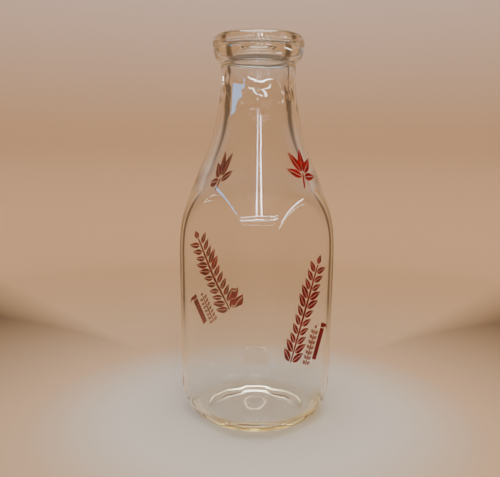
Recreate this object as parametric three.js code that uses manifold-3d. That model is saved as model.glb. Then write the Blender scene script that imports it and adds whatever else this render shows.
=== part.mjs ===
// A tall glass milk bottle, one US quart, standing on its foot.
// Millimetres, +Z up, origin at the middle of the circle that the foot stands on.
// The blown body is a round bottle cut by four flat panels, so its corners stay round.
// Two opposite panels (-Y and +Y) carry the same fired red enamel print.
import * as THREE from "three";
import { mergeVertices } from "three/addons/utils/BufferGeometryUtils.js";
import { TessellateModifier } from "three/addons/modifiers/TessellateModifier.js";
import Module from "manifold-3d";

const wasm = await Module();
wasm.setup();

// ---- driving dimensions: the glass ----
const HEIGHT = 242; // foot to top of lip
const BODY_RADIUS = 49.4; // widest round of the body, which its corners keep
const FLAT_AT = 41.5; // axis to the outside of a flat panel
const NECK_RADIUS = 23.4; // narrowest round of the neck
const COLLAR_RADIUS = 28.8; // widest round of the lip
const FOOT_RADIUS = 31; // middle of the ring that the bottle stands on
const WALL = 3.1; // body wall
const NECK_WALL = 5.2;
const FLOOR_AT = 6.5; // inside floor above the foot
const PUSH_UP = 5; // hollow under the base
const CAP_SEAT_RADIUS = 20.7; // recess for a 1 5/8 inch cap disc
const CAP_SEAT_DEPTH = 6.2;
const THROAT_RADIUS = 16.4; // narrowest of the bore, under the cap seat
const EDGE_BLEND = 2.5; // how far the edge between flat and round is softened
const SEGMENTS = 48; // facets around the bottle, 12 in each quarter

// ---- driving dimensions: the enamel print ----
const ENAMEL = 0.25; // thickness of a printed piece
const PANEL_GAP = 0.15; // clear of the flat glass
const SHOULDER_GAP = 0.25; // clear of the faceted round glass
const ROW_ANGLE = 67; // slope of the print's rows, in degrees
const GARLAND = { length: 61, stem: 1.7, pairs: 11, leaf: [8.6, 3.9], large: [0, 1, 6, 7] };
const GARLAND_START = [-12.5, 45.5]; // lower end of the long row: across the panel, height
const SHORT_GARLAND = { length: 22.5, stem: 1, pairs: 7, leaf: [3.5, 1.9], large: [] };
const SHORT_GARLAND_START = [1.2, 40.6];
const LARGER = 1.25; // size of a garland's large leaves
const BANNER_SIZE = [20, 3.9];
const BANNER_START = [9.2, 42.2];
const DIAMONDS = 5; // openings along the banner
const DIAMOND_SIZE = [2.6, 2];
const TAIL_CORNERS = [[0.4, -5.2], [3.2, -2.4], [3.2, 2.2], [0.4, 2.2]];
const SPRIG_STEM = [11, 1.4];
const SPRIG_CENTRE = [1.2, 160.5]; // across the shoulder, height
const SPRIG_TILT = -12; // degrees, leaning right
const LEAFLETS = [ // where each starts, its turn in degrees, length, width
  [0, -1, 0, 13, 5.4],
  [0, -1.8, 42, 13.5, 5],
  [0, -1.8, -42, 13.5, 5],
  [0, -4.6, 78, 11.5, 4.5],
  [0, -4.6, -78, 11.5, 4.5],
];
const MIDRIB = 0.6; // width of the slot left open along a leaflet
const BACK_PIVOT = [13.5, 52.3]; // the back's rows are turned about this place and moved
const BACK_TURN = -5;
const BACK_MOVE = [-1.6, 9.4];
const BACK_SPRIG_MOVE = 2.5;
const FACET = 3.6; // longest edge of a piece that is bent to the shoulder

const GLASS = new THREE.MeshStandardMaterial({
  color: 0xdfe3dc, roughness: 0.04, metalness: 0, transparent: true, opacity: 0.3,
});
const RED = { color: 0xa81a14, roughness: 0.35, metalness: 0 };

const degrees = THREE.MathUtils.degToRad;

// ---- the glass vessel ----

// Points of a curve, without its last one, which the next stretch starts with.
const stretch = (curve, steps) => curve.getPoints(steps).slice(0, -1);
const point = (r, z) => new THREE.Vector2(r, z);
const line = (a, b, steps = 1) => stretch(new THREE.LineCurve(a, b), steps);
const bend = (a, control, b, steps) =>
  stretch(new THREE.QuadraticBezierCurve(a, control, b), steps);
const spline = (points, steps) => stretch(new THREE.SplineCurve(points), steps);
// A quarter of an ellipse about (r, z), from one angle to another.
const quarter = (r, z, width, height, from, to, steps) =>
  stretch(new THREE.EllipseCurve(r, z, width, height, degrees(from), degrees(to), from > to), steps);

function outerProfile() {
  const heelTop = 25; // where the heel's curve ends, which is gentle
  const heelRadius = BODY_RADIUS - 1.4;
  const bodyTop = 103;
  const neckAt = 215;
  const collarFoot = HEIGHT - 16;
  const widest = HEIGHT - 5.4;
  const crown = COLLAR_RADIUS - 4;
  return [
    ...bend(point(0, PUSH_UP), point(18, PUSH_UP), point(FOOT_RADIUS - 3, 0.7), 4),
    ...bend(point(FOOT_RADIUS - 3, 0.7), point(FOOT_RADIUS - 2, 0), point(FOOT_RADIUS - 1, 0), 1),
    ...line(point(FOOT_RADIUS - 1, 0), point(FOOT_RADIUS + 1, 0)),
    ...quarter(FOOT_RADIUS + 1, heelTop, heelRadius - FOOT_RADIUS - 1, heelTop, -90, 0, 8),
    ...line(point(heelRadius, heelTop), point(BODY_RADIUS, bodyTop), 2),
    ...spline([
      point(BODY_RADIUS, bodyTop),
      point(BODY_RADIUS - 0.4, 119),
      point(46.8, 132.5),
      point(41, 148),
      point(36, 161),
      point(30.7, 174),
      point(27.2, 187),
      point(24.8, 201),
      point(NECK_RADIUS, neckAt),
    ], 14),
    ...line(point(NECK_RADIUS, neckAt), point(NECK_RADIUS + 0.4, collarFoot)),
    ...quarter(NECK_RADIUS + 0.6, collarFoot + 8, COLLAR_RADIUS - NECK_RADIUS - 1.5, 7.7, -90, 0, 4),
    ...line(point(COLLAR_RADIUS - 0.9, collarFoot + 8), point(COLLAR_RADIUS - 0.6, collarFoot + 8.8)),
    ...line(point(COLLAR_RADIUS - 0.6, collarFoot + 8.8), point(COLLAR_RADIUS, widest)),
    ...quarter(crown, widest, 4, 5.4, 0, 90, 4),
  ].map((p) => ({ r: p.x, z: p.y, flat: FLAT_AT }));
}

function innerProfile() {
  const crown = COLLAR_RADIUS - 4;
  const seat = HEIGHT - CAP_SEAT_DEPTH;
  const throat = HEIGHT - 13;
  const bore = NECK_RADIUS - NECK_WALL;
  const bodyRadius = BODY_RADIUS - WALL;
  const heelTop = FLOOR_AT + 10;
  const floorRadius = 37;
  return [
    ...quarter(crown, HEIGHT - 3.4, crown - CAP_SEAT_RADIUS, 3.4, 90, 180, 3),
    ...line(point(CAP_SEAT_RADIUS, HEIGHT - 3.4), point(CAP_SEAT_RADIUS - 0.2, seat)),
    ...line(point(CAP_SEAT_RADIUS - 0.2, seat), point(THROAT_RADIUS + 2, seat)),
    ...line(point(THROAT_RADIUS + 2, seat), point(THROAT_RADIUS, throat)),
    ...line(point(THROAT_RADIUS, throat), point(THROAT_RADIUS + 0.2, throat - 2)),
    ...line(point(THROAT_RADIUS + 0.2, throat - 2), point(bore, throat - 5)),
    ...line(point(bore, throat - 5), point(bore, 208)),
    ...spline([
      point(bore, 208),
      point(18.6, 198),
      point(20, 187),
      point(23.6, 174),
      point(29.9, 160),
      point(37.3, 146),
      point(43.6, 131),
      point(bodyRadius - 0.3, 118),
      point(bodyRadius, 103),
    ], 11),
    ...line(point(bodyRadius, 103), point(bodyRadius - 1.4, heelTop + 8), 2),
    ...quarter(floorRadius, heelTop, bodyRadius - 1.4 - floorRadius, 10, 0, -90, 4),
    ...bend(point(floorRadius, FLOOR_AT), point(16, FLOOR_AT + 0.1), point(0, FLOOR_AT + 1.6), 3),
    point(0, FLOOR_AT + 1.6),
  ].map((p) => ({ r: p.x, z: p.y, flat: FLAT_AT - WALL }));
}

// How far the glass reaches from the axis, in a direction and at a place on the profile.
function reach(angle, { r, flat }) {
  const quarterTurn = Math.PI / 2;
  const fromPanel = angle - quarterTurn * Math.round(angle / quarterTurn);
  const panel = flat / Math.cos(fromPanel);
  const near = Math.max(EDGE_BLEND - Math.abs(r - panel), 0) / EDGE_BLEND;
  return Math.min(r, panel) - (near * near * EDGE_BLEND) / 4;
}

// Rings of a profile that starts and ends on the axis, joined into one closed skin.
function ringSkin(profile) {
  const vertices = [0, 0, profile[0].z];
  const rings = profile.slice(1, -1);
  for (const place of rings) {
    for (let j = 0; j < SEGMENTS; j += 1) {
      const angle = (2 * Math.PI * j) / SEGMENTS;
      const distance = reach(angle, place);
      vertices.push(distance * Math.cos(angle), distance * Math.sin(angle), place.z);
    }
  }
  const lastPole = vertices.length / 3;
  vertices.push(0, 0, profile.at(-1).z);
  const index = [];
  const at = (ring, j) => 1 + ring * SEGMENTS + (j % SEGMENTS);
  for (let j = 0; j < SEGMENTS; j += 1) {
    index.push(0, at(0, j + 1), at(0, j));
    index.push(lastPole, at(rings.length - 1, j), at(rings.length - 1, j + 1));
  }
  for (let ring = 0; ring < rings.length - 1; ring += 1) {
    for (let j = 0; j < SEGMENTS; j += 1) {
      const [a, b] = [at(ring, j), at(ring, j + 1)];
      const [c, d] = [at(ring + 1, j + 1), at(ring + 1, j)];
      index.push(a, b, c, a, c, d);
    }
  }
  const geometry = new THREE.BufferGeometry();
  geometry.setAttribute("position", new THREE.Float32BufferAttribute(vertices, 3));
  geometry.setIndex(index);
  return geometry;
}

function glassVessel() {
  const vessel = new THREE.Mesh(ringSkin([...outerProfile(), ...innerProfile()]), GLASS);
  vessel.name = "glass_vessel";
  return vessel;
}

// ---- flat enamel pieces, drawn in a plane and then laid on the glass ----

const placed = (x, y, turn) =>
  new THREE.Matrix4().makeTranslation(x, y, 0).multiply(new THREE.Matrix4().makeRotationZ(turn));

// A solid of one enamel thickness with the given outline, moved in its plane.
function wafer(shape, place = new THREE.Matrix4(), depth = ENAMEL, lift = 0) {
  const geometry = new THREE.ExtrudeGeometry(shape, { depth, bevelEnabled: false, curveSegments: 4 });
  geometry.translate(0, 0, lift).applyMatrix4(place);
  geometry.deleteAttribute("normal");
  geometry.deleteAttribute("uv");
  const merged = mergeVertices(geometry);
  return new wasm.Manifold(new wasm.Mesh({
    numProp: 3,
    vertProperties: merged.attributes.position.array,
    triVerts: new Uint32Array(merged.index.array),
  }));
}

// A cutter goes right through the enamel.
const cutter = (shape, place) => wafer(shape, place, 3 * ENAMEL, -ENAMEL);

function geometryOf(solid) {
  const { vertProperties, triVerts } = solid.getMesh();
  const geometry = new THREE.BufferGeometry();
  geometry.setAttribute("position", new THREE.Float32BufferAttribute(vertProperties, 3));
  geometry.setIndex([...triVerts]);
  return geometry;
}

// A pointed leaf or bud that grows along +Y from the origin.
function leafShape(length, width) {
  const shape = new THREE.Shape();
  shape.moveTo(0, 0);
  shape.quadraticCurveTo(width, length * 0.42, 0, length);
  shape.quadraticCurveTo(-width, length * 0.42, 0, 0);
  return shape;
}

function barShape(length, width) {
  const shape = new THREE.Shape();
  shape.moveTo(0, -width / 2);
  shape.lineTo(length, -width / 2);
  shape.lineTo(length, width / 2);
  shape.lineTo(0, width / 2);
  shape.closePath();
  return shape;
}

function diamondShape(length, width) {
  const shape = new THREE.Shape();
  shape.moveTo(-length / 2, 0);
  shape.lineTo(0, -width / 2);
  shape.lineTo(length / 2, 0);
  shape.lineTo(0, width / 2);
  shape.closePath();
  return shape;
}

// Pairs of leaves along a straight stem that runs along +X, and one leaf at its end.
function garland({ length, stem, pairs, leaf: [leafLength, leafWidth], large }) {
  const spacing = length / pairs;
  const lean = 38;
  let solid = wafer(barShape(length, stem));
  for (let i = 0; i < pairs; i += 1) {
    const size = large.includes(i) ? LARGER : 1;
    const shape = leafShape(leafLength * size, leafWidth * size);
    const x = spacing * (i + 0.15);
    solid = solid.add(wafer(shape, placed(x, stem * 0.3, degrees(-lean))));
    solid = solid.add(wafer(shape, placed(x, -stem * 0.3, degrees(lean - 180))));
  }
  return solid.add(wafer(leafShape(leafLength * 0.7, leafWidth), placed(length - 0.5, 0, degrees(-90))));
}

// Leaflets on a stem, each with its midrib left open.
function sprig() {
  const [stemLength, stemWidth] = SPRIG_STEM;
  const slotStart = 0.36;
  const slotLength = 0.42;
  let solid = wafer(barShape(stemLength, stemWidth), placed(0, -11.5, degrees(90)));
  for (const [x, y, turn, length, width] of LEAFLETS) {
    solid = solid.add(wafer(leafShape(length, width), placed(x, y, degrees(turn))));
  }
  for (const [x, y, turn, length] of LEAFLETS) {
    const along = new THREE.Matrix4().makeTranslation(0, length * slotStart, 0);
    const rib = placed(x, y, degrees(turn)).multiply(along);
    solid = solid.subtract(cutter(leafShape(length * slotLength, MIDRIB), rib));
  }
  return solid;
}

// A bar with a row of open diamonds.
function banner() {
  const [length, width] = BANNER_SIZE;
  let solid = wafer(barShape(length, width));
  for (let i = 0; i < DIAMONDS; i += 1) {
    const at = placed((length * (i + 0.5)) / DIAMONDS, 0, 0);
    solid = solid.subtract(cutter(diamondShape(...DIAMOND_SIZE), at));
  }
  return solid;
}

// The folded end of the banner, cut on a slant.
function ribbonTail() {
  const shape = new THREE.Shape();
  shape.setFromPoints(TAIL_CORNERS.map(([x, y]) => new THREE.Vector2(x, y)));
  return wafer(shape);
}

// ---- laying the enamel on the glass ----

const outerPlaces = outerProfile().filter((place) => place.r > FOOT_RADIUS || place.z > FLOOR_AT);

function placeAt(z) {
  const above = outerPlaces.findIndex((place) => place.z >= z);
  const [low, high] = [outerPlaces[above - 1], outerPlaces[above]];
  const share = (z - low.z) / (high.z - low.z);
  return { r: low.r + share * (high.r - low.r), flat: FLAT_AT };
}

// How the back's rows are set within their panel, compared with the front's.
function backSetting() {
  const [x, y] = BACK_PIVOT;
  const about = placed(x + BACK_MOVE[0], y + BACK_MOVE[1], degrees(BACK_TURN));
  return about.multiply(placed(-x, -y, 0));
}

// Stands a piece of a row up against the front panel, in the place its print gives it.
function onPanel(name, solid, [across, height], setting) {
  const flat = geometryOf(solid);
  flat.applyMatrix4(placed(across, height, degrees(ROW_ANGLE)));
  flat.applyMatrix4(setting);
  flat.rotateX(degrees(90));
  flat.translate(0, -(FLAT_AT + PANEL_GAP), 0);
  return named(name, flat);
}

// Wraps a piece round the front of the shoulder, which leans in as it rises.
function onShoulder(name, solid, [across, height], turn) {
  const lean = 0.93;
  const flat = geometryOf(solid).toNonIndexed();
  flat.applyMatrix4(placed(across, 0, degrees(turn)));
  const fine = new TessellateModifier(FACET, 12).modify(flat);
  const position = fine.attributes.position;
  for (let i = 0; i < position.count; i += 1) {
    const z = height + position.getY(i) * lean;
    const place = placeAt(z);
    const angle = position.getX(i) / place.r - Math.PI / 2;
    const distance = reach(angle, place) + SHOULDER_GAP + position.getZ(i);
    position.setXYZ(i, distance * Math.cos(angle), distance * Math.sin(angle), z);
  }
  return named(name, fine);
}

function named(name, geometry) {
  for (const attribute of Object.keys(geometry.attributes)) {
    if (attribute !== "position") geometry.deleteAttribute(attribute);
  }
  const mesh = new THREE.Mesh(mergeVertices(geometry), new THREE.MeshStandardMaterial(RED));
  mesh.name = name;
  return mesh;
}

// One panel's print, made on the front and turned to its side of the bottle.
function print(side, turn, setting, sprigMove) {
  const group = new THREE.Group();
  const slope = degrees(ROW_ANGLE);
  const bannerEnd = [
    BANNER_START[0] + BANNER_SIZE[0] * Math.cos(slope),
    BANNER_START[1] + BANNER_SIZE[0] * Math.sin(slope),
  ];
  const sprigAt = [SPRIG_CENTRE[0] + sprigMove, SPRIG_CENTRE[1]];
  group.add(
    onShoulder(`${side}_leaf_sprig`, sprig(), sprigAt, SPRIG_TILT),
    onPanel(`${side}_garland`, garland(GARLAND), GARLAND_START, setting),
    onPanel(`${side}_short_garland`, garland(SHORT_GARLAND), SHORT_GARLAND_START, setting),
    onPanel(`${side}_banner_bar`, banner(), BANNER_START, setting),
    onPanel(`${side}_ribbon_tail`, ribbonTail(), bannerEnd, setting),
  );
  group.rotation.z = turn;
  return group;
}

const bottle = new THREE.Group();
bottle.add(
  glassVessel(),
  print("front", 0, new THREE.Matrix4(), 0),
  print("back", Math.PI, backSetting(), BACK_SPRIG_MOVE),
);

export default bottle;
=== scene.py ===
"""A tall clear glass milk bottle with a red fired print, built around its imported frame.

Lengths are in millimetres until they reach a mesh, a light or the camera, which are in metres.
"""

import math

import bpy
import numpy as np
from mathutils import Matrix, Vector, geometry, noise


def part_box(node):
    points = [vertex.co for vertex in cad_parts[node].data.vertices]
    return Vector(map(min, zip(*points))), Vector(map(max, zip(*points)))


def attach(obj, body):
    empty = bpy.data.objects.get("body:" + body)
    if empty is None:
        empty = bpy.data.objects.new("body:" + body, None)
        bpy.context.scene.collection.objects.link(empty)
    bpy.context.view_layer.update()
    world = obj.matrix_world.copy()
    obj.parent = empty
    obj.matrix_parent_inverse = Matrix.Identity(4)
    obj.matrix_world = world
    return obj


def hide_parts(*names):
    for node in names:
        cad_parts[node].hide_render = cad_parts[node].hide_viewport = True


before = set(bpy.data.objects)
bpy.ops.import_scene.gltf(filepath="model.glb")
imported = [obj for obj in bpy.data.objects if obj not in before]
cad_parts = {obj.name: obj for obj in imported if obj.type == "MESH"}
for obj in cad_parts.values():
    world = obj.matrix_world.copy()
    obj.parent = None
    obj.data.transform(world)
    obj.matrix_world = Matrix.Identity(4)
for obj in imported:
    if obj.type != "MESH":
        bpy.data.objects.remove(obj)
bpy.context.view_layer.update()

MM = 0.001
BODY = "root"

# ---- the glass, from the frame ----
vessel_low, vessel_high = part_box("glass_vessel")
HEIGHT = vessel_high.z / MM
FLAT_AT = vessel_high.x / MM  # axis to the outside of a flat panel

# ---- the glass, as the CAD has it ----
BODY_RADIUS = 49.4
NECK_RADIUS = 23.4
COLLAR_RADIUS = 28.8
FOOT_RADIUS = 31.0
WALL = 3.1
NECK_WALL = 5.2
FLOOR_AT = 6.5
CAP_SEAT_RADIUS = 20.7
CAP_SEAT_DEPTH = 6.2
THROAT_RADIUS = 16.4
EDGE_BLEND = 2.5
AROUND = 216  # points around the bottle

WAVY_AT = 207  # height of the waviest glass, in the neck
WAVY_REACH = 18
CLEAR = (0.985, 0.985, 0.975)
HEEL_GLOW_PAINT = (0.97, 0.66, 0.04)  # golden glow painted low on the heel, on the camera's side only: painted light standing in for light guided down the glass wall
HEEL_GLOW_TURN = math.radians(30)  # from the camera to the middle of the painted glow

# ---- the enamel ----
ENAMEL_GAP = 0.04
ENAMEL = 0.09
MESH_STEP = 1.3  # spacing of the points that let enamel follow the glass
ROW_ANGLE = math.radians(67)
OPEN_RIB = 0.16  # half the width of the slot left along a leaf
LEAF_LEAN = 38  # degrees between a garland's leaf and square to its stem
LARGER = 1.25
GARLAND = {
    "length": 61,
    "pairs": 11,
    "leaf_size": (8.6, 1.95),
    "stem_width": 1.7,
    "large": (0, 1, 6, 7),  # pairs that are larger
}
GARLAND_START = (-12.5, 45.5)  # across the panel, height
SHORT_GARLAND = {"length": 22.5, "pairs": 7, "leaf_size": (3.5, 0.95), "stem_width": 1.0}
SHORT_GARLAND_START = (1.2, 40.6)
BANNER_SIZE = (20, 3.9)
BANNER_START = (9.2, 42.2)
DIAMONDS = 5
DIAMOND_SIZE = (2.6, 2.0)
TAIL_CORNERS = [(0.5, -5.0), (3.3, -2.6), (3.3, 2.2), (0.5, 2.2), (0.5, -1.0), (1.6, -2.6)]
SPRIG_STEM = (9.0, 1.4)
SPRIG_STEM_FOOT = -11.5
SPRIG_AT = (1.2, 160.5)
SPRIG_TILT = math.radians(-12)
LEAFLETS = [  # start across and up, turn in degrees, length, half width
    (0, -1.0, 0, 13.0, 3.0),
    (0.8, -1.8, -42, 13.5, 2.7),
    (-0.8, -1.8, 42, 13.5, 2.7),
    (1.0, -4.6, -78, 11.5, 2.4),
    (-1.0, -4.6, 78, 11.5, 2.4),
]
BACK_PIVOT = (13.5, 52.3)
BACK_TURN = math.radians(-5)
BACK_MOVE = (-1.6, 9.4)
BACK_SPRIG_MOVE = (2.5, 0)
# Two copies of the print's one red, a brighter and a deeper: painted light and shade on the print's own
# colour.
BRIGHT_REDS = (0.10, 0.001, 0.001), (0.24, 0.003, 0.003)
DEEP_REDS = (0.085, 0.001, 0.003), (0.19, 0.003, 0.006)

# ---- the camera ----
CAMERA_AWAY = 410
CAMERA_UP = 178
CAMERA_PITCH = math.radians(6.6)
CAMERA_ROLL = math.radians(0.5)
CAMERA_LEFT = 4.5
LENS = 46.3
SHIFT_Y = -0.05
VIEW_AZIMUTH = math.radians(-45)

# ---- the cove ----
COVE_FLOOR = 480  # radius of the flat part
COVE_SWEEP = 170
COVE_TOP = 820
COVE_DROP = 0.3  # under the bottle's foot
COVE_TURNS = 128
COVE_LENGTH = 1.5
SIDE_SHADE = 0.24  # painted shade at the sides of the cove, standing in for the dim room there, against 1 behind the bottle
COVE_COLOURS = [  # metres outward and then up, colour
    (0.085, (0.42, 0.36, 0.30)),
    (0.145, (0.385, 0.245, 0.145)),
    (0.35, (0.42, 0.255, 0.135)),
    (0.65, (0.48, 0.282, 0.149)),
    (0.85, (0.515, 0.312, 0.17)),
    (1.05, (0.56, 0.40, 0.31)),
    (1.10, (0.57, 0.41, 0.32)),
    # near-black top band: painted shade standing in for the dim room above the wall
    (1.16, (0.14, 0.10, 0.075)),
]

# ---- the lamps ----
WARM_WHITE = (1.0, 0.98, 0.95)
COOL_WHITE = (0.9, 0.95, 1.0)
SKY_BLUE = (0.0, 0.45, 1.0)
OVERHEAD = ("overhead", 0, 100, 1400, 1000, 1000, 29.5, (1.0, 0.96, 0.92), False)
UPRIGHT_LAMPS = [  # name, degrees from the camera, away, height, width, length, watts, colour, seen in glass
    ("right_strip", 7, 600, 595, 22, 320, 1.9, WARM_WHITE, False),
    ("left_strip", -1, 600, 590, 12, 330, 1.0, COOL_WHITE, True),
    ("bar", 4, 450, 304, 640, 5, 1.1, WARM_WHITE, True),
    ("high_bar", 4, 450, 345, 600, 5, 0.5, WARM_WHITE, True),
    ("window", -62, 580, 354, 420, 52, 1.05, SKY_BLUE, False),
    ("side_slit", 78, 600, 154, 250, 24, 0.6, WARM_WHITE, True),
]
ROOM_GLOW = 0.12


# ---- outlines in a plane ----


def bend(a, control, b, steps):
    """A quadratic curve from a to b, without its last point."""
    t = np.linspace(0, 1, steps, endpoint=False)[:, None]
    a, control, b = np.array(a, float), np.array(control, float), np.array(b, float)
    return (1 - t) ** 2 * a + 2 * t * (1 - t) * control + t**2 * b


def line(a, b, steps=1):
    t = np.linspace(0, 1, steps, endpoint=False)[:, None]
    return (1 - t) * np.array(a, float) + t * np.array(b, float)


def quarter(centre, width, height, start, end, steps):
    """Part of an ellipse between two angles in degrees, without its last point."""
    t = np.radians(np.linspace(start, end, steps, endpoint=False))
    return np.column_stack([centre[0] + width * np.cos(t), centre[1] + height * np.sin(t)])


def smooth_through(points, steps):
    """A natural cubic spline through points, without its last point."""
    points = np.array(points, float)
    knots = np.concatenate([[0], np.cumsum(np.hypot(*np.diff(points, axis=0).T))])
    n = len(points)
    gaps = np.diff(knots)
    system = np.eye(n)
    right = np.zeros((n, 2))
    for i in range(1, n - 1):
        system[i, i - 1 : i + 2] = gaps[i - 1], 2 * (gaps[i - 1] + gaps[i]), gaps[i]
        rise = np.diff(points, axis=0)[i - 1 : i + 1] / gaps[i - 1 : i + 1, None]
        right[i] = 6 * (rise[1] - rise[0])
    bends = np.linalg.solve(system, right)
    out = []
    for s in np.linspace(0, knots[-1], steps, endpoint=False):
        i = min(int(np.searchsorted(knots, s, side="right")) - 1, n - 2)
        h, a, b = gaps[i], knots[i + 1] - s, s - knots[i]
        out.append(
            (bends[i] * a**3 + bends[i + 1] * b**3) / (6 * h)
            + (points[i] / h - bends[i] * h / 6) * a
            + (points[i + 1] / h - bends[i + 1] * h / 6) * b
        )
    return np.array(out)


# ---- the glass vessel ----


def outer_profile():
    """(radius, height) from the middle of the base, up the outside, to the top of the lip."""
    heel_top = 25
    heel = BODY_RADIUS - 1.4
    collar_foot = HEIGHT - 16
    crown = COLLAR_RADIUS - 4
    widest = HEIGHT - 5.4
    push_up, valve = 5.0, 6.9
    base = [
        line((0, push_up), (valve - 0.6, push_up), 4),
        bend((valve - 0.6, push_up), (valve, push_up - 1.8), (valve + 0.6, push_up), 8),
        bend((valve + 0.6, push_up), (20, push_up), (FOOT_RADIUS - 3, 0.8), 16),
        bend((FOOT_RADIUS - 3, 0.8), (FOOT_RADIUS - 1.8, 0), (FOOT_RADIUS - 1, 0), 5),
        line((FOOT_RADIUS - 1, 0), (FOOT_RADIUS + 1, 0), 2),
        quarter((FOOT_RADIUS + 1, heel_top), heel - FOOT_RADIUS - 1, heel_top, -90, 0, 30),
    ]
    side = smooth_through(
        [
            (heel, heel_top),
            (48.7, 62),
            (BODY_RADIUS, 100),
            (BODY_RADIUS - 0.4, 119),
            (46.8, 132.5),
            (41, 148),
            (36, 161),
            (30.7, 174),
            (27.2, 187),
            (24.8, 201),
            (NECK_RADIUS, 215),
            (NECK_RADIUS + 0.1, 222),
            (NECK_RADIUS + 0.5, collar_foot),
        ],
        110,
    )
    collar = [
        bend((NECK_RADIUS + 0.5, collar_foot), (27.2, collar_foot + 0.6), (27.8, collar_foot + 5), 10),
        bend((27.8, collar_foot + 5), (28.2, collar_foot + 6.8), (27.9, collar_foot + 7.7), 6),
        bend((27.9, collar_foot + 7.7), (26.4, collar_foot + 8.4), (28.3, collar_foot + 8.8), 8),
        bend((28.3, collar_foot + 8.8), (28.8, collar_foot + 9.4), (28.6, widest - 0.4), 6),
        bend((28.6, widest - 0.4), (27.9, widest), (28.65, widest + 0.3), 6),
        quarter((crown, widest + 0.3), 3.85, 5.1, 0, 90, 16),
    ]
    return np.concatenate([*base, side, *collar])


def inner_profile():
    """(radius, height) from the top of the lip, down the inside, to the middle of the floor."""
    crown = COLLAR_RADIUS - 4
    seat = HEIGHT - CAP_SEAT_DEPTH
    throat = HEIGHT - 13
    bore = NECK_RADIUS - NECK_WALL
    inside = BODY_RADIUS - WALL
    heel_top = FLOOR_AT + 10
    floor_radius = 37
    lead_in = THROAT_RADIUS + 1.5
    bottom = throat - 1.4
    under = (THROAT_RADIUS + 0.7, throat - 2.6)
    mouth = [
        quarter((crown, HEIGHT - 3.4), crown - CAP_SEAT_RADIUS, 3.4, 90, 180, 12),
        line((CAP_SEAT_RADIUS, HEIGHT - 3.4), (CAP_SEAT_RADIUS - 0.1, seat + 0.7), 4),
        bend((CAP_SEAT_RADIUS - 0.1, seat + 0.7), (20.5, seat), (19.8, seat), 5),
        line((19.8, seat), (THROAT_RADIUS + 2.6, seat), 2),
        bend((THROAT_RADIUS + 2.6, seat), (THROAT_RADIUS + 1.7, seat), (lead_in, seat - 1.2), 5),
        line((lead_in, seat - 1.2), (THROAT_RADIUS + 0.2, throat + 1.4), 5),
        bend((THROAT_RADIUS + 0.2, throat + 1.4), (THROAT_RADIUS - 0.3, bottom), under, 8),
        bend(under, (bore - 0.1, throat - 4), (bore, throat - 7), 7),
    ]
    side = smooth_through(
        [
            (bore, throat - 7),
            (bore, 208),
            (18.6, 198),
            (20.0, 187),
            (23.6, 174),
            (29.9, 160),
            (37.3, 146),
            (43.6, 131),
            (inside - 0.3, 118),
            (inside, 100),
            (inside - 0.7, 60),
            (inside - 1.4, heel_top + 8),
            (inside - 1.5, heel_top),
        ],
        120,
    )
    edge = (floor_radius - 1.6, FLOOR_AT)
    floor = [
        quarter((floor_radius, heel_top), inside - 1.5 - floor_radius, 10, 0, -82, 16),
        bend((floor_radius + 1.3, FLOOR_AT + 0.1), (floor_radius, FLOOR_AT - 0.7), edge, 8),
        bend(edge, (16, FLOOR_AT + 0.1), (0, FLOOR_AT + 1.6), 14),
        [(0, FLOOR_AT + 1.6)],
    ]
    return np.concatenate([*mouth, side, *floor])


def reach(angle, radius, flat):
    """How far the glass goes from the axis: a round of this radius, cut by four flats."""
    quarter_turn = math.pi / 2
    from_panel = angle - quarter_turn * np.round(angle / quarter_turn)
    panel = flat / np.cos(from_panel)
    near = np.maximum(EDGE_BLEND - np.abs(radius - panel), 0) / EDGE_BLEND
    return np.minimum(radius, panel) - near**2 * EDGE_BLEND / 4


def ripple(x, y, z, size, place):
    """Smooth noise between -1 and 1, with ripples about size millimetres across."""
    return noise.noise(Vector((x, y, z)) / size + Vector((place, 0, 0)))


def neck_share(z):
    """1 in the middle of the neck, where the glass is most wavy, and 0 away from it."""
    return max(0.0, 1 - abs(z - WAVY_AT) / WAVY_REACH)


def outer_unevenness(x, y, z):
    """How far the blown outside falls short of its mould, in millimetres."""
    coarse = 0.09 * (1 - ripple(x, y, z * 0.6, 26, 3.1)) / 2
    fine = 0.16 * neck_share(z) * (1 - ripple(x, y, z * 1.1, 4, 31.7)) / 2
    return coarse + fine


def inner_unevenness(x, y, z):
    """The inside never touched a mould, so its ripples are larger, most of all in the neck."""
    coarse = 0.3 * ripple(x, y, z * 0.5, 24, 11.7)
    fine = 0.65 * neck_share(z) * ripple(x, y, z * 1.1, 4.4, 21.3)
    return coarse + fine


def ring_skin(name, rings):
    """A closed mesh from rings of (radius, height, flat, unevenness) with a pole at each end."""
    angles = np.linspace(0, 2 * math.pi, AROUND, endpoint=False)
    vertices = [(0, 0, rings[0][1])]
    for radius, z, flat, uneven in rings[1:-1]:
        distance = reach(angles, radius, flat)
        x, y = distance * np.cos(angles), distance * np.sin(angles)
        for px, py, pr in zip(x, y, distance):
            shrink = 1 - (uneven(px, py, z) if uneven else 0) / pr
            vertices.append((px * shrink, py * shrink, z))
    vertices.append((0, 0, rings[-1][1]))
    last = len(vertices) - 1
    count = len(rings) - 2

    def at(ring, j):
        return 1 + ring * AROUND + j % AROUND

    faces = [(0, at(0, j + 1), at(0, j)) for j in range(AROUND)]
    for ring in range(count - 1):
        for j in range(AROUND):
            faces.append((at(ring, j), at(ring, j + 1), at(ring + 1, j + 1), at(ring + 1, j)))
    faces += [(last, at(count - 1, j), at(count - 1, j + 1)) for j in range(AROUND)]
    return mesh_object(name, vertices, faces)


def mesh_object(name, vertices, faces, smooth=True):
    mesh = bpy.data.meshes.new(name)
    mesh.from_pydata([tuple(c * MM for c in v) for v in vertices], [], [tuple(f) for f in faces])
    mesh.update()
    if smooth:
        mesh.shade_smooth()
    else:
        mesh.shade_flat()
    piece = bpy.data.objects.new(name, mesh)
    bpy.context.scene.collection.objects.link(piece)
    return piece


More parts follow.
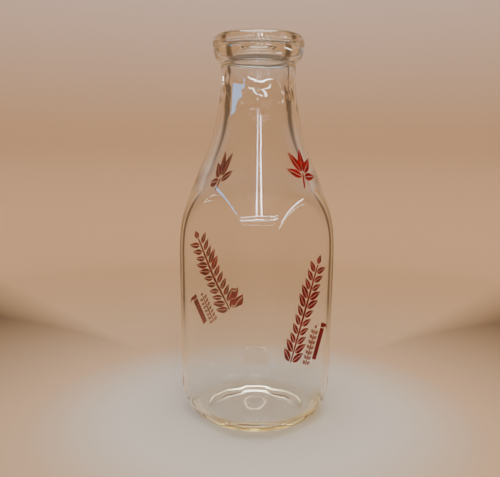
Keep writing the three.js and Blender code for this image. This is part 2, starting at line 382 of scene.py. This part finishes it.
def glass_vessel():
    collar_foot = HEIGHT - 16
    rings = []
    for radius, z in outer_profile():
        free = FOOT_RADIUS + 6 < radius or 60 < z < collar_foot
        rings.append((radius, z, FLAT_AT, outer_unevenness if free else None))
    for radius, z in inner_profile():
        free = z < HEIGHT - 20
        rings.append((radius, z, FLAT_AT - WALL, inner_unevenness if free else None))
    piece = ring_skin("clear_glass_vessel", rings)
    piece.data.materials.append(clear_glass())
    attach(piece, BODY)
    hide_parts("glass_vessel")
    return piece


# ---- materials ----


def new_material(name):
    material = bpy.data.materials.new(name)
    material.use_nodes = True
    nodes, links = material.node_tree.nodes, material.node_tree.links
    return material, nodes, links, nodes["Principled BSDF"]


def add_noise(nodes, links, scale, detail=3.0):
    coordinates = nodes.new("ShaderNodeTexCoord")
    texture = nodes.new("ShaderNodeTexNoise")
    texture.inputs["Scale"].default_value = scale
    texture.inputs["Detail"].default_value = detail
    links.new(coordinates.outputs["Object"], texture.inputs["Vector"])
    return texture.outputs["Fac"]


def add_range(nodes, links, source, low, high, start=0.3, end=0.7):
    """Maps source from start..end to low..high."""
    mapped = nodes.new("ShaderNodeMapRange")
    mapped.inputs["From Min"].default_value = start
    mapped.inputs["From Max"].default_value = end
    mapped.inputs["To Min"].default_value = low
    mapped.inputs["To Max"].default_value = high
    links.new(source, mapped.inputs["Value"])
    return mapped.outputs["Result"]


def add_bump(nodes, links, source, strength, distance, target):
    bump = nodes.new("ShaderNodeBump")
    bump.inputs["Strength"].default_value = strength
    bump.inputs["Distance"].default_value = distance
    links.new(source, bump.inputs["Height"])
    links.new(bump.outputs["Normal"], target)


def times(nodes, links, a, b):
    product = nodes.new("ShaderNodeMath")
    product.operation = "MULTIPLY"
    links.new(a, product.inputs[0])
    links.new(b, product.inputs[1])
    return product.outputs["Value"]


def dot_with(nodes, links, source, direction):
    dot = nodes.new("ShaderNodeVectorMath")
    dot.operation = "DOT_PRODUCT"
    dot.inputs[1].default_value = direction
    links.new(source, dot.inputs[0])
    return dot.outputs["Value"]


def level_part(nodes, links, where):
    """The horizontal part of a place, and its distance from the axis."""
    level = nodes.new("ShaderNodeVectorMath")
    level.operation = "MULTIPLY"
    level.inputs[1].default_value = (1, 1, 0)
    links.new(where, level.inputs[0])
    length = nodes.new("ShaderNodeVectorMath")
    length.operation = "LENGTH"
    links.new(level.outputs["Vector"], length.inputs[0])
    return level.outputs["Vector"], length.outputs["Value"]


def heel_glow_share(nodes, links):
    """1 low on the heel, on the camera's side where the golden glow is painted, and 0 away from it."""
    where = nodes.new("ShaderNodeTexCoord").outputs["Object"]
    split = nodes.new("ShaderNodeSeparateXYZ")
    links.new(where, split.inputs["Vector"])
    low = add_range(nodes, links, split.outputs["Z"], 1, 0, 0.004, 0.012)
    radius = level_part(nodes, links, where)[1]
    at_rim = add_range(nodes, links, radius, 0, 1, 0.033, 0.041)
    along = dot_with(nodes, links, where, toward(VIEW_AZIMUTH + HEEL_GLOW_TURN))
    one_side = add_range(nodes, links, along, 0, 1, 0.004, 0.020)
    return times(nodes, links, times(nodes, links, low, at_rim), one_side)


def share_let_through(nodes, links):
    """How much light passes unbent: lamps shine in, and light guided along a wall gets out."""
    path = nodes.new("ShaderNodeLightPath")
    guided = nodes.new("ShaderNodeMath")
    guided.operation = "GREATER_THAN"
    guided.inputs[1].default_value = 3.5
    links.new(path.outputs["Glossy Depth"], guided.inputs[0])
    passing = nodes.new("ShaderNodeMath")
    passing.operation = "MULTIPLY_ADD"
    passing.use_clamp = True
    passing.inputs[1].default_value = 0.6
    links.new(path.outputs["Is Shadow Ray"], passing.inputs[0])
    links.new(guided.outputs["Value"], passing.inputs[2])
    return passing.outputs["Value"]


def clear_glass():
    """Clear soda-lime glass with a golden tint painted low on the heel, on the camera's side only, which
    stands in for light guided down the wall, and faint handling marks.
    """
    material, nodes, links, shader = new_material("clear_soda_lime_glass")
    # Painted light: the heel turns golden only on the camera's side, standing in for light guided down the
    # glass wall.
    heel_glow_colour = add_ramp(nodes, links, heel_glow_share(nodes, links), [(0, CLEAR), (1, HEEL_GLOW_PAINT)])
    links.new(heel_glow_colour, shader.inputs["Base Color"])
    shader.inputs["Transmission Weight"].default_value = 1
    shader.inputs["IOR"].default_value = 1.5
    smudge = add_noise(nodes, links, 38, 4)
    links.new(add_range(nodes, links, smudge, 0.0, 0.03), shader.inputs["Roughness"])
    absorb = nodes.new("ShaderNodeVolumeAbsorption")
    absorb.inputs["Color"].default_value = (0.93, 0.85, 0.48, 1)
    absorb.inputs["Density"].default_value = 9
    out = nodes["Material Output"]
    links.new(absorb.outputs["Volume"], out.inputs["Volume"])
    clear = nodes.new("ShaderNodeBsdfTransparent")
    mix = nodes.new("ShaderNodeMixShader")
    links.new(share_let_through(nodes, links), mix.inputs["Fac"])
    links.new(shader.outputs["BSDF"], mix.inputs[1])
    links.new(clear.outputs["BSDF"], mix.inputs[2])
    links.new(mix.outputs["Shader"], out.inputs["Surface"])
    return material


def red_enamel(name, dark, bright):
    """Fired enamel: a dense screened red, a little uneven in depth, gloss and thickness."""
    material, nodes, links, shader = new_material(name)
    depth = add_noise(nodes, links, 420, 5)
    red = add_ramp(nodes, links, depth, [(0.35, dark), (0.68, bright)])
    links.new(red, shader.inputs["Base Color"])
    grain = add_noise(nodes, links, 1500, 2)
    links.new(add_range(nodes, links, grain, 0.3, 0.5), shader.inputs["Roughness"])
    shader.inputs["Specular IOR Level"].default_value = 0.25
    add_bump(nodes, links, grain, 0.25, 0.00008, shader.inputs["Normal"])
    return material


# ---- the stage: camera, floor, light ----


def toward(azimuth, elevation=0.0):
    """The direction from the bottle to a camera or light there. Azimuth 0 is in front, at -Y."""
    return Vector(
        (
            math.sin(azimuth) * math.cos(elevation),
            -math.cos(azimuth) * math.cos(elevation),
            math.sin(elevation),
        )
    )


def add_camera():
    data = bpy.data.cameras.new("camera")
    data.lens = LENS
    data.sensor_width = 36
    data.shift_y = SHIFT_Y
    data.clip_start, data.clip_end = 0.01, 20
    camera = bpy.data.objects.new("camera", data)
    back = toward(VIEW_AZIMUTH)
    right = Vector((0, 0, 1)).cross(back)
    camera.location = (back * CAMERA_AWAY - right * CAMERA_LEFT + Vector((0, 0, CAMERA_UP))) * MM
    aim = -toward(VIEW_AZIMUTH, CAMERA_PITCH)
    level = aim.to_track_quat("-Z", "Y").to_matrix()
    camera.rotation_euler = (level @ Matrix.Rotation(CAMERA_ROLL, 3, "Z")).to_euler()
    bpy.context.scene.collection.objects.link(camera)
    bpy.context.scene.camera = camera


def add_stage():
    """A round cove: a pale floor that sweeps up into a warm wall on every side, with painted shade toward
    the sides and at the top.
    """
    wall = COVE_FLOOR + COVE_SWEEP
    sweep_top = COVE_SWEEP - COVE_DROP
    profile = np.concatenate(
        [
            line((0, -COVE_DROP), (COVE_FLOOR, -COVE_DROP), 12),
            quarter((COVE_FLOOR, sweep_top), COVE_SWEEP, COVE_SWEEP, -90, 0, 24),
            line((wall, sweep_top), (wall, COVE_TOP), 8),
            [(wall, COVE_TOP)],
        ]
    )
    vertices, faces = [], []
    for radius, z in profile:
        for j in range(COVE_TURNS):
            angle = 2 * math.pi * j / COVE_TURNS
            vertices.append((radius * math.cos(angle), radius * math.sin(angle), z))
    for ring in range(len(profile) - 1):
        for j in range(COVE_TURNS):
            a = ring * COVE_TURNS + j
            b = ring * COVE_TURNS + (j + 1) % COVE_TURNS
            faces.append((a, b, b + COVE_TURNS, a + COVE_TURNS))
    stage = mesh_object("cove", vertices, faces)
    stage.data.materials.append(cove_paint())


def add_ramp(nodes, links, source, stops):
    """A colour ramp with stops of (position, colour)."""
    ramp = nodes.new("ShaderNodeValToRGB")
    elements = ramp.color_ramp.elements
    while len(elements) < len(stops):
        elements.new(0.5)
    for element, (position, colour) in zip(elements, stops):
        element.position = position
        element.color = (*colour, 1)
    links.new(source, ramp.inputs["Fac"])
    return ramp.outputs["Color"]


def cove_paint():
    """Matt paint, pale around the bottle and warmer outward and up the wall, with painted shade at the sides
    and a near-black painted band at the top for the dim room.
    """
    material, nodes, links, shader = new_material("matt_cove_paint")
    where = nodes.new("ShaderNodeTexCoord").outputs["Object"]
    split = nodes.new("ShaderNodeSeparateXYZ")
    links.new(where, split.inputs["Vector"])
    level, out = level_part(nodes, links, where)
    along = nodes.new("ShaderNodeMath")  # metres from the middle, outward and then up
    links.new(out, along.inputs[0])
    links.new(split.outputs["Z"], along.inputs[1])
    faded = add_range(nodes, links, along.outputs["Value"], 0, 1, 0, COVE_LENGTH)
    stops = [(at / COVE_LENGTH, colour) for at, colour in COVE_COLOURS]
    paint = add_ramp(nodes, links, faded, stops)
    # Painted shade: the cove is deeper in tone away from the part behind the bottle, standing in for the dim
    # room at the sides, so the glass has edges.
    around = nodes.new("ShaderNodeVectorMath")
    around.operation = "NORMALIZE"
    links.new(level, around.inputs[0])
    behind = dot_with(nodes, links, around.outputs["Vector"], -toward(VIEW_AZIMUTH))
    side = add_range(nodes, links, behind, SIDE_SHADE, 1, 0.64, 0.775)
    near = add_range(nodes, links, out, 1, 0, 0.15, 0.4)
    tone = nodes.new("ShaderNodeMath")
    tone.operation = "MAXIMUM"
    links.new(side, tone.inputs[0])
    links.new(near, tone.inputs[1])
    toned = nodes.new("ShaderNodeVectorMath")
    toned.operation = "SCALE"
    links.new(paint, toned.inputs[0])
    links.new(tone.outputs["Value"], toned.inputs["Scale"])
    links.new(toned.outputs["Vector"], shader.inputs["Base Color"])
    shader.inputs["Roughness"].default_value = 0.9
    shader.inputs["Specular IOR Level"].default_value = 0.1
    add_bump(nodes, links, add_noise(nodes, links, 600), 0.1, 0.0002, shader.inputs["Normal"])
    return material


def add_light(name, turn, away, z, width, length, power, colour, in_glass):
    """An upright soft panel that faces the bottle's axis."""
    data = bpy.data.lights.new(name, "AREA")
    data.shape = "RECTANGLE"
    data.size, data.size_y = width * MM, length * MM
    data.energy = power
    data.color = colour
    light = bpy.data.objects.new(name, data)
    direction = toward(VIEW_AZIMUTH + math.radians(turn))
    light.location = (direction * away + Vector((0, 0, z))) * MM
    light.rotation_euler = (-direction).to_track_quat("-Z", "Y").to_euler()
    light.visible_camera = False
    light.visible_transmission = in_glass
    bpy.context.scene.collection.objects.link(light)
    return light


def add_lights():
    overhead = add_light(*OVERHEAD)
    overhead.rotation_euler = (0, 0, VIEW_AZIMUTH)
    for lamp in UPRIGHT_LAMPS:
        add_light(*lamp)
    world = bpy.data.worlds.new("room")
    world.use_nodes = True
    background = world.node_tree.nodes["Background"]
    background.inputs["Color"].default_value = (0.9, 0.88, 0.86, 1)
    background.inputs["Strength"].default_value = ROOM_GLOW
    bpy.context.scene.world = world


# ---- the enamel print ----


def surface_point(outline, across, up, offset):
    """A point on the front of the bottle, across millimetres from the panel's middle."""
    radius = float(np.interp(up, outline[:, 1], outline[:, 0]))
    if radius > FLAT_AT:
        angle = math.atan2(across, FLAT_AT)
    else:
        angle = across / radius
    distance = float(reach(np.array(angle), radius, FLAT_AT)) + offset
    return distance * math.sin(angle), -distance * math.cos(angle), up


def outline_of_glass():
    profile = outer_profile()
    return profile[(profile[:, 1] > 20) & (profile[:, 1] < HEIGHT - 20)]


def fill(loops):
    """Triangles that fill closed loops. A loop that lies inside another one is filled too."""
    points, edges = [], []
    for loop in loops:
        start = len(points)
        points += [Vector(p) for p in loop]
        edges += [(start + i, start + (i + 1) % len(loop)) for i in range(len(loop))]
    low = np.min([np.min(loop, axis=0) for loop in loops], axis=0)
    high = np.max([np.max(loop, axis=0) for loop in loops], axis=0)
    for x in np.arange(low[0] + 0.37, high[0], MESH_STEP):
        for y in np.arange(low[1] + 0.41, high[1], MESH_STEP):
            points.append(Vector((x, y)))
    made = geometry.delaunay_2d_cdt(points, edges, [], 2, 1e-4)
    return made[0], made[2]


def enamel_piece(name, loops, outline, turn, material, replaced):
    """A thin printed film with this outline on the front glass, turned to its side."""
    flat_points, triangles = fill(loops)
    used = sorted({i for triangle in triangles for i in triangle})
    number = {old: new for new, old in enumerate(used)}
    count = len(used)
    side = Matrix.Rotation(turn, 3, "Z")
    vertices = []
    for offset in (ENAMEL_GAP, ENAMEL_GAP + ENAMEL):
        for i in used:
            across, up = flat_points[i]
            vertices.append(side @ Vector(surface_point(outline, across, up, offset)))
    faces, borders = [], {}
    for triangle in triangles:
        a, b, c = (number[i] for i in triangle)
        faces.append((a + count, b + count, c + count))
        faces.append((c, b, a))
        for edge in ((a, b), (b, c), (c, a)):
            if (edge[1], edge[0]) in borders:
                del borders[(edge[1], edge[0])]
            else:
                borders[edge] = True
    faces += [(a, b, b + count, a + count) for a, b in borders]
    piece = mesh_object(name, vertices, faces, smooth=False)
    piece.data.materials.append(material)
    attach(piece, BODY)
    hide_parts(replaced)
    return piece


def moved(loop, x, y, turn):
    """A loop turned about its origin and then moved."""
    c, s = math.cos(turn), math.sin(turn)
    loop = np.array(loop, float)
    return np.column_stack([x + loop[:, 0] * c - loop[:, 1] * s, y + loop[:, 0] * s + loop[:, 1] * c])


def half_leaf(length, width, rib, side):
    """One half of a pointed leaf that grows along +Y, on its side of an open midrib."""
    t = np.linspace(0, 1, 12)
    edge = width * np.sin(math.pi * t**0.8) * (1 - 0.25 * t) + rib
    outer = np.column_stack([side * edge, length * t])
    inner = np.column_stack([np.full(2, side * rib), [length * 0.97, length * 0.03]])
    return np.concatenate([outer, inner])


def leaf(x, y, turn, length, width):
    return [moved(half_leaf(length, width, OPEN_RIB, side), x, y, turn) for side in (-1, 1)]


def stem(length, width):
    """A stem along +X that swells in the middle."""
    t = np.linspace(0, 1, 40)
    half = width / 2 * (0.55 + 0.45 * np.sin(math.pi * t))
    top = np.column_stack([length * t, half])
    return np.concatenate([top, np.column_stack([length * t, -half])[::-1]])


def diamond(x, length, width):
    corners = [(-length / 2, 0), (0, -width / 2), (length / 2, 0), (0, width / 2)]
    return moved(corners, x, 0, 0)


def sprig_loops():
    loops = [moved(stem(*SPRIG_STEM), 0, SPRIG_STEM_FOOT, math.pi / 2)]
    for x, y, turn, length, width in LEAFLETS:
        loops += leaf(x, y, math.radians(turn), length, width)
    return loops


def garland_loops(length, pairs, leaf_size, stem_width, large=()):
    """Pairs of leaves along a stem, and a last leaf at its end."""
    leaf_length, leaf_width = leaf_size
    loops = [stem(length, stem_width)]
    spacing = length / pairs
    for i in range(pairs):
        size = LARGER if i in large else 1.0
        for side in (1, -1):
            x = spacing * (i + 0.15)
            y = side * (stem_width / 2 + 0.35)
            turn = math.radians(-LEAF_LEAN if side > 0 else LEAF_LEAN - 180)
            loops += leaf(x, y, turn, leaf_length * size, leaf_width * size)
    loops += leaf(length + 0.5, 0, math.radians(-90), leaf_length * 0.7, leaf_width)
    return loops


def banner_loops(length, width):
    """A bar with a row of diamonds marked in it, which fill doesn't open, so the bar stays solid."""
    half = width / 2
    loops = [np.array([(0, -half), (length, -half), (length, half), (0, half)])]
    for i in range(DIAMONDS):
        loops.append(diamond(length * (i + 0.5) / DIAMONDS, *DIAMOND_SIZE))
    return loops


def on_row(loops, start):
    return [moved(loop, *start, ROW_ANGLE) for loop in loops]


def shifted(loops, pivot, turn, across, up):
    """Loops turned about a pivot and moved, as the back's screen was set a little differently."""
    out = []
    for loop in loops:
        about = moved(loop, -pivot[0], -pivot[1], 0)
        out.append(moved(about, pivot[0] + across, pivot[1] + up, turn))
    return out


def prints():
    outline = outline_of_glass()
    # The same print takes the two reds the other way round on front and back, each part given the red of how
    # it looks in its light: painted light and shade.
    bright = red_enamel("bright_red_enamel", *BRIGHT_REDS)
    deep = red_enamel("deep_red_enamel", *DEEP_REDS)
    banner_end = (
        BANNER_START[0] + BANNER_SIZE[0] * math.cos(ROW_ANGLE),
        BANNER_START[1] + BANNER_SIZE[0] * math.sin(ROW_ANGLE),
    )
    rows = {
        "garland": on_row(garland_loops(**GARLAND), GARLAND_START),
        "short_garland": on_row(garland_loops(**SHORT_GARLAND), SHORT_GARLAND_START),
        "banner_bar": on_row(banner_loops(*BANNER_SIZE), BANNER_START),
        "ribbon_tail": on_row([TAIL_CORNERS], banner_end),
    }
    for part, loops in rows.items():
        enamel_piece(f"front_{part}_print", loops, outline, 0, deep, f"front_{part}")
        loops = shifted(loops, BACK_PIVOT, BACK_TURN, *BACK_MOVE)
        enamel_piece(f"back_{part}_print", loops, outline, math.pi, bright, f"back_{part}")
    sprig = [moved(loop, *SPRIG_AT, SPRIG_TILT) for loop in sprig_loops()]
    enamel_piece("front_leaf_sprig_print", sprig, outline, 0, bright, "front_leaf_sprig")
    sprig = shifted(sprig, SPRIG_AT, 0, *BACK_SPRIG_MOVE)
    enamel_piece("back_leaf_sprig_print", sprig, outline, math.pi, deep, "back_leaf_sprig")


add_camera()
add_stage()
add_lights()
glass_vessel()
prints()
